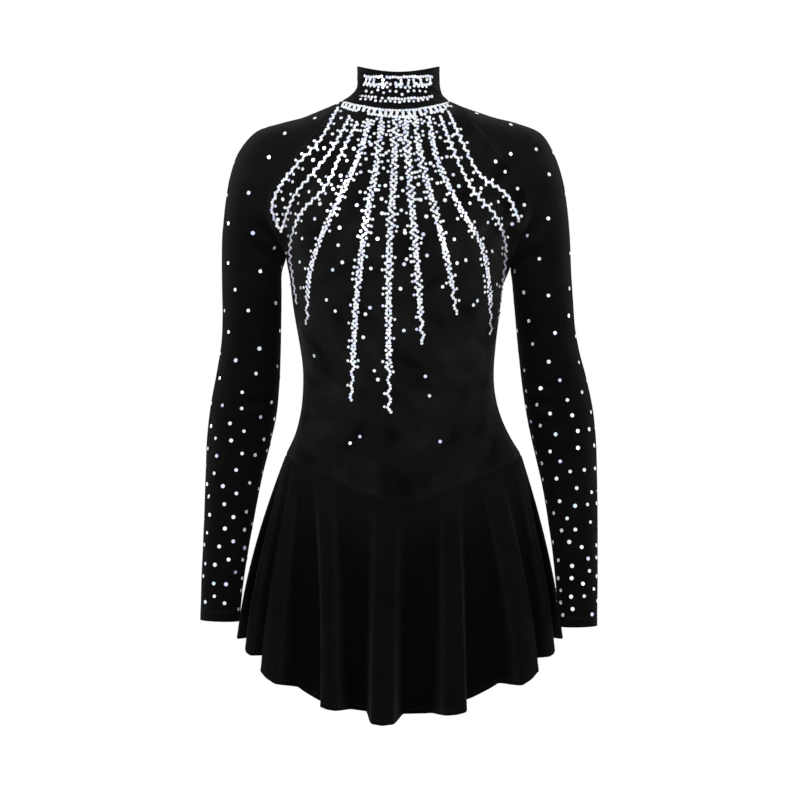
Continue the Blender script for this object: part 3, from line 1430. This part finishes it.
def makeSingles():
    chance = np.random.default_rng(8)
    spots = []
    paths = [curveThrough(points, rayWork["pathPoints"]) for points, _, _ in rayWork["rays"]]
    for first, second in zip(paths[:-1], paths[1:]):
        reach = min(runLength(first)[-1], runLength(second)[-1])
        levels = np.linspace(0, 1, singleWork["steps"]) * reach
        ends = [sample(levels, runLength(path), path) for path in (first, second)]
        middle = (ends[0] + ends[1]) / 2
        gap = np.linalg.norm(ends[0] - ends[1], axis=1)
        at = chance.uniform(6, 14)
        while at < reach * 0.98:
            index = int(at / reach * (singleWork["steps"] - 1))
            if gap[index] > singleWork["fromWidth"]:
                aside = chance.uniform(-1, 1) * max(0.0, gap[index] / 2 - singleWork["clearOfRay"])
                spots.append(middle[index] + np.array([aside, chance.uniform(-2, 2)]))
            sparser = 1 + singleWork["spread"] * max(0.0, at - singleWork["spreadFrom"])
            at += singleWork["spacing"] * sparser * chance.uniform(0.75, 1.25)
    spots = np.array(spots + singleWork["loose"], dtype=float)
    points, normals, kept = hitsFromFront(clothTree("front"), spots[:, 0], spots[:, 1])
    radii = singleWork["radius"] * chance.uniform(0.85, 1.1, len(kept))
    setStones("stones_bodice", points, normals, radii, 9)


makeSingles()


collarWork = {
    "columns": ("level", "rise", "reach", "spacing", "radius", "swing"),
    # height at the front centre, how much higher it runs at the ends, how far round, spacing, size, wander
    "rows": [
        (46.2, 3.5, 53, 3.7, 1.95, 0.7),
        (36.6, 3.5, 52, 3.7, 1.95, 1.0),
        (33.6, 3.9, 46, 5.6, 1.9, 1.0),
        (26.4, 4.6, 44, 7.4, 1.85, 2.2),
        (18.6, 5.0, 50, 3.8, 1.95, 0.8),
        (14.8, 5.0, 46, 5.4, 1.9, 1.0),
    ],
    "skipped": 0.07,
    "ringRadius": 52.0,
    # ladder links between the two upper rows, and the comb just below the neck seam
    "linkReach": 52,
    "linkEvery": 8.4,
    "linkLevels": (39.0, 42.4),
    "combReach": 64,
    "combSpacing": 4.1,
    "combDrops": (2.4, 11.6),
    "combShare": (1.0, 0.8),
    "combTeeth": 6.8,
    "toothDrops": (5.5, 8.6, 14.6),
    "toothShare": (1.0, 0.95, 0.15),
    "radius": 2.15,
}


# angle and level of each stone on the collar
def collarSpots():
    chance = np.random.default_rng(12)
    spots = []

    def add(angle, level, radius):
        spots.append((angle, level, radius * chance.uniform(0.9, 1.08)))

    def rise(band, angle):
        return band["rise"] * (math.sin(math.radians(angle)) / math.sin(math.radians(band["reach"]))) ** 2

    perMillimetre = math.degrees(1 / collarWork["ringRadius"])
    bands = [dict(zip(collarWork["columns"], row)) for row in collarWork["rows"]]
    for band in bands:
        for angle in np.arange(-band["reach"], band["reach"], band["spacing"] * perMillimetre):
            if chance.uniform() > collarWork["skipped"]:
                level = band["level"] + rise(band, angle) + chance.uniform(-1, 1) * band["swing"]
                add(angle, level, band["radius"])
    reach = collarWork["linkReach"]
    for angle in np.arange(-reach, reach + 1, collarWork["linkEvery"] * perMillimetre):
        aside = chance.uniform(-2.4, 2.4)
        for level in collarWork["linkLevels"]:
            if chance.uniform() > 2 * collarWork["skipped"]:
                turn = angle + aside + chance.uniform(-0.7, 0.7)
                add(turn, level + rise(bands[0], angle), collarWork["radius"] * 0.92)
    return np.array(spots)


# a point on a piece at a distance along its top edge and down from it
def besideTop(name, at, drop):
    made = finishedCloth[name]
    points, normals = made["points"], made["normals"]
    column = np.interp(at, runLength(points[0]), np.arange(points.shape[1]))
    low = min(int(column), points.shape[1] - 2)
    place, out = np.zeros(3), np.zeros(3)
    for index, share in ((low, 1 - column + low), (low + 1, column - low)):
        known = made["runs"]["top"][:, index]
        place += share * sample([drop], known, points[:, index])[0]
        out += share * sample([drop], known, normals[:, index])[0]
    return place, unit(out)


def makeCollarStones():
    tree = clothTree("collar")
    points, normals, radii = [], [], []
    for angle, level, radius in collarSpots():
        out = Vector(around(np.array([angle]))[0])
        where, normal, _, _ = tree.ray_cast(out * 300 + Vector((0, 0, level)), -out)
        if where is not None:
            points.append(where)
            normals.append(normal)
            radii.append(radius)
    turns = np.linspace(-collarWork["combReach"], collarWork["combReach"], 400)
    reach = runLength(neckRing(turns, cut["neckSeam"]))[-1] / 2
    middle = runLength(finishedCloth["front"]["points"][0])[-1] / 2
    chance = np.random.default_rng(15)
    comb = []
    for drop, share in zip(collarWork["combDrops"], collarWork["combShare"]):
        row = np.arange(-reach, reach, collarWork["combSpacing"])
        comb += [(at, drop + chance.uniform(-0.5, 0.5)) for at in row if chance.uniform() < share]
    for at in np.arange(-reach, reach, collarWork["combTeeth"]):
        lean = chance.uniform(-1.0, 1.0)
        for number, (drop, share) in enumerate(zip(collarWork["toothDrops"], collarWork["toothShare"])):
            if chance.uniform() < share:
                comb.append((at + lean * number, drop))
    for at, drop in comb:
        place, out = besideTop("front", middle + at, drop)
        points.append(place)
        normals.append(out)
        radii.append(collarWork["radius"])
    setStones("stones_collar", np.array(points), np.array(normals), np.array(radii), 13)


makeCollarStones()


sleeveWork = {
    "radius": 2.45,
    # level and how far apart the stones stand there
    "spacing": np.array([
        (-640, 14), (-560, 15), (-480, 16.5), (-400, 17.5), (-370, 19), (-330, 26), (-240, 29), (-100, 33),
        (0, 36),
    ]),
    "tries": 9000,
    "clearOfCuff": 13.0,
    "clearOfSeam": 9.0,
    "edgeOn": 0.17,
    "edgeOnBelow": -60,
}


def makeSleeveStones(name, seed):
    made = finishedCloth[name]
    chance = np.random.default_rng(seed)
    rows, columns, _ = made["points"].shape
    runs = made["runs"]
    points, normals = [], []
    for _ in range(sleeveWork["tries"]):
        row = chance.integers(2, rows - 2)
        column = chance.integers(1, columns - 1)
        spot, out = made["points"][row, column], made["normals"][row, column]
        clear = min(runs[side][row, column] for side in ("left", "right", "top"))
        if clear < sleeveWork["clearOfSeam"] or runs["bottom"][row, column] < sleeveWork["clearOfCuff"]:
            continue
        if abs(out[1]) < sleeveWork["edgeOn"] and spot[2] < sleeveWork["edgeOnBelow"]:
            continue
        apart = np.interp(spot[2], sleeveWork["spacing"][:, 0], sleeveWork["spacing"][:, 1])
        if points and np.linalg.norm(np.array(points) - spot, axis=1).min() < apart:
            continue
        points.append(spot)
        normals.append(out)
    radii = sleeveWork["radius"] * chance.uniform(0.9, 1.1, len(points))
    setStones("stones_" + name, np.array(points), np.array(normals), radii, seed + 1)


makeSleeveStones("sleeve_left", 31)
makeSleeveStones("sleeve_right", 41)
print("stage: stones set")


# concealed zip
zipWork = {
    "top": 60.0,
    "bottom": -300.0,
    "inside": 1.6,
    # coil: pitch, size across, along and out, how deep it lies
    "coilPitch": 1.7,
    "coilSize": (3.2, 1.3, 2.6),
    "coilIn": 0.9,
    # two tapes: where each begins and ends beside the middle, how deep, how thick
    "tapeEdges": (0.5, 10.0),
    "tapeIn": 0.2,
    "tapeThickness": 0.5,
}


# down the centre back on the inner side of the cloth, from the collar's top to the zip's end
def centreBackLine():
    collar, back = finishedCloth["collar"], finishedCloth["back_left"]
    points = np.concatenate([collar["points"][:-1, 0], back["points"][1:, -1]])
    outs = np.concatenate([collar["normals"][:-1, 2], back["normals"][1:, -3]])
    keep = (points[:, 2] < zipWork["top"]) & (points[:, 2] > zipWork["bottom"])
    points, outs = points[keep], unit(outs[keep])
    run = runLength(points)
    at = np.linspace(0, run[-1], int(run[-1] / zipWork["coilPitch"]))
    normals = unit(sample(at, run, outs))
    normals[:, 0] = 0
    return sample(at, run, points), unit(normals)


def modelCoil():
    bpy.ops.mesh.primitive_torus_add(major_segments=8, minor_segments=5, major_radius=0.5, minor_radius=0.16)
    return readMesh(bpy.context.object)


def makeZip():
    spots, outs = centreBackLine()
    inner = spots - outs * zipWork["inside"]
    along = unit(np.gradient(inner, axis=0))
    across = unit(np.cross(outs, along))
    sizes = np.tile(zipWork["coilSize"], (len(inner), 1))
    places = inner - outs * zipWork["coilIn"]
    setCopies("zip_coil", modelCoil(), places, across, along, np.cross(across, along), sizes, thread)
    vertices, faces = [], []
    count = len(inner)
    for strip, side in enumerate((-1, 1)):
        vertices += [inner + across * side * edge - outs * zipWork["tapeIn"] for edge in zipWork["tapeEdges"]]
        for near in range(strip * 2 * count, strip * 2 * count + count - 1):
            faces.append((near, near + 1, near + count + 1, near + count))
    mesh = bpy.data.meshes.new("zip_tape")
    mesh.from_pydata((np.concatenate(vertices) * mm).tolist(), [], faces)
    piece = linkPiece("zip_tape", mesh)
    thicken(piece, zipWork["tapeThickness"], 0.0)
    dressPiece(piece, None, thread)
    for node in ("zip_slider", "zip_tab"):
        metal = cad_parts[node]
        for slotPart in metal.material_slots:
            slotPart.material = lacquer


makeZip()
print("stage: zip made")


# floor, light and camera
studio = {
    "floorLevel": -1.45,
    "floorRadius": 2.9,
    "floorGrain": 3.0,
    "floorTones": ((0.8, 0.8, 0.8, 1), (0.86, 0.86, 0.86, 1)),
    "worldLight": 1.0,
    "cameraPlace": (0.002, -3.2, -0.355),
    "lens": 114.0,
    # name, place, aim, size, power
    "lights": [
        ("key", (-1.7, -2.4, 1.3), (0, 0, -0.3), 1.6, 34.0),
        ("fill", (2.2, -2.2, 0.5), (0, 0, -0.35), 1.8, 16.0),
        ("rimLeft", (-2.3, 1.0, 0.3), (0, 0, -0.4), 1.3, 12.0),
        ("rimRight", (2.3, 1.0, 0.3), (0, 0, -0.4), 1.3, 12.0),
    ],
}


def makeStudio():
    radius, middle = studio["floorRadius"], (0, 0, studio["floorLevel"])
    bpy.ops.mesh.primitive_circle_add(vertices=96, radius=radius, fill_type="NGON", location=middle)
    floor = bpy.context.object
    floor.name = "floor"
    paper, tree, shader, place = startMaterial("paleFloor")
    grain = addNoise(tree, place, studio["floorGrain"], Detail=3.0)
    feed(shader, Base_Color=addTone(tree, grain, *studio["floorTones"]), Roughness=0.9)
    floor.data.materials.append(paper)
    world = bpy.data.worlds.new("studioWhite")
    bpy.context.scene.world = world
    world.use_nodes = True
    feed(world.node_tree.nodes["Background"], Color=(1, 1, 1, 1), Strength=studio["worldLight"])
    for name, place, aim, size, power in studio["lights"]:
        lamp = bpy.data.lights.new(name, "AREA")
        lamp.shape = "DISK"
        lamp.size = size
        lamp.energy = power
        holder = bpy.data.objects.new(name, lamp)
        bpy.context.collection.objects.link(holder)
        holder.location = place
        holder.rotation_euler = (Vector(aim) - Vector(place)).to_track_quat("-Z", "Y").to_euler()
    camera = bpy.data.objects.new("camera", bpy.data.cameras.new("camera"))
    bpy.context.collection.objects.link(camera)
    camera.location = studio["cameraPlace"]
    camera.rotation_euler = (math.radians(90), 0, 0)
    camera.data.sensor_width = 36.0
    camera.data.lens = studio["lens"]
    bpy.context.scene.camera = camera
    bpy.context.scene.view_settings.view_transform = "Standard"


makeStudio()
print("stage: studio ready")
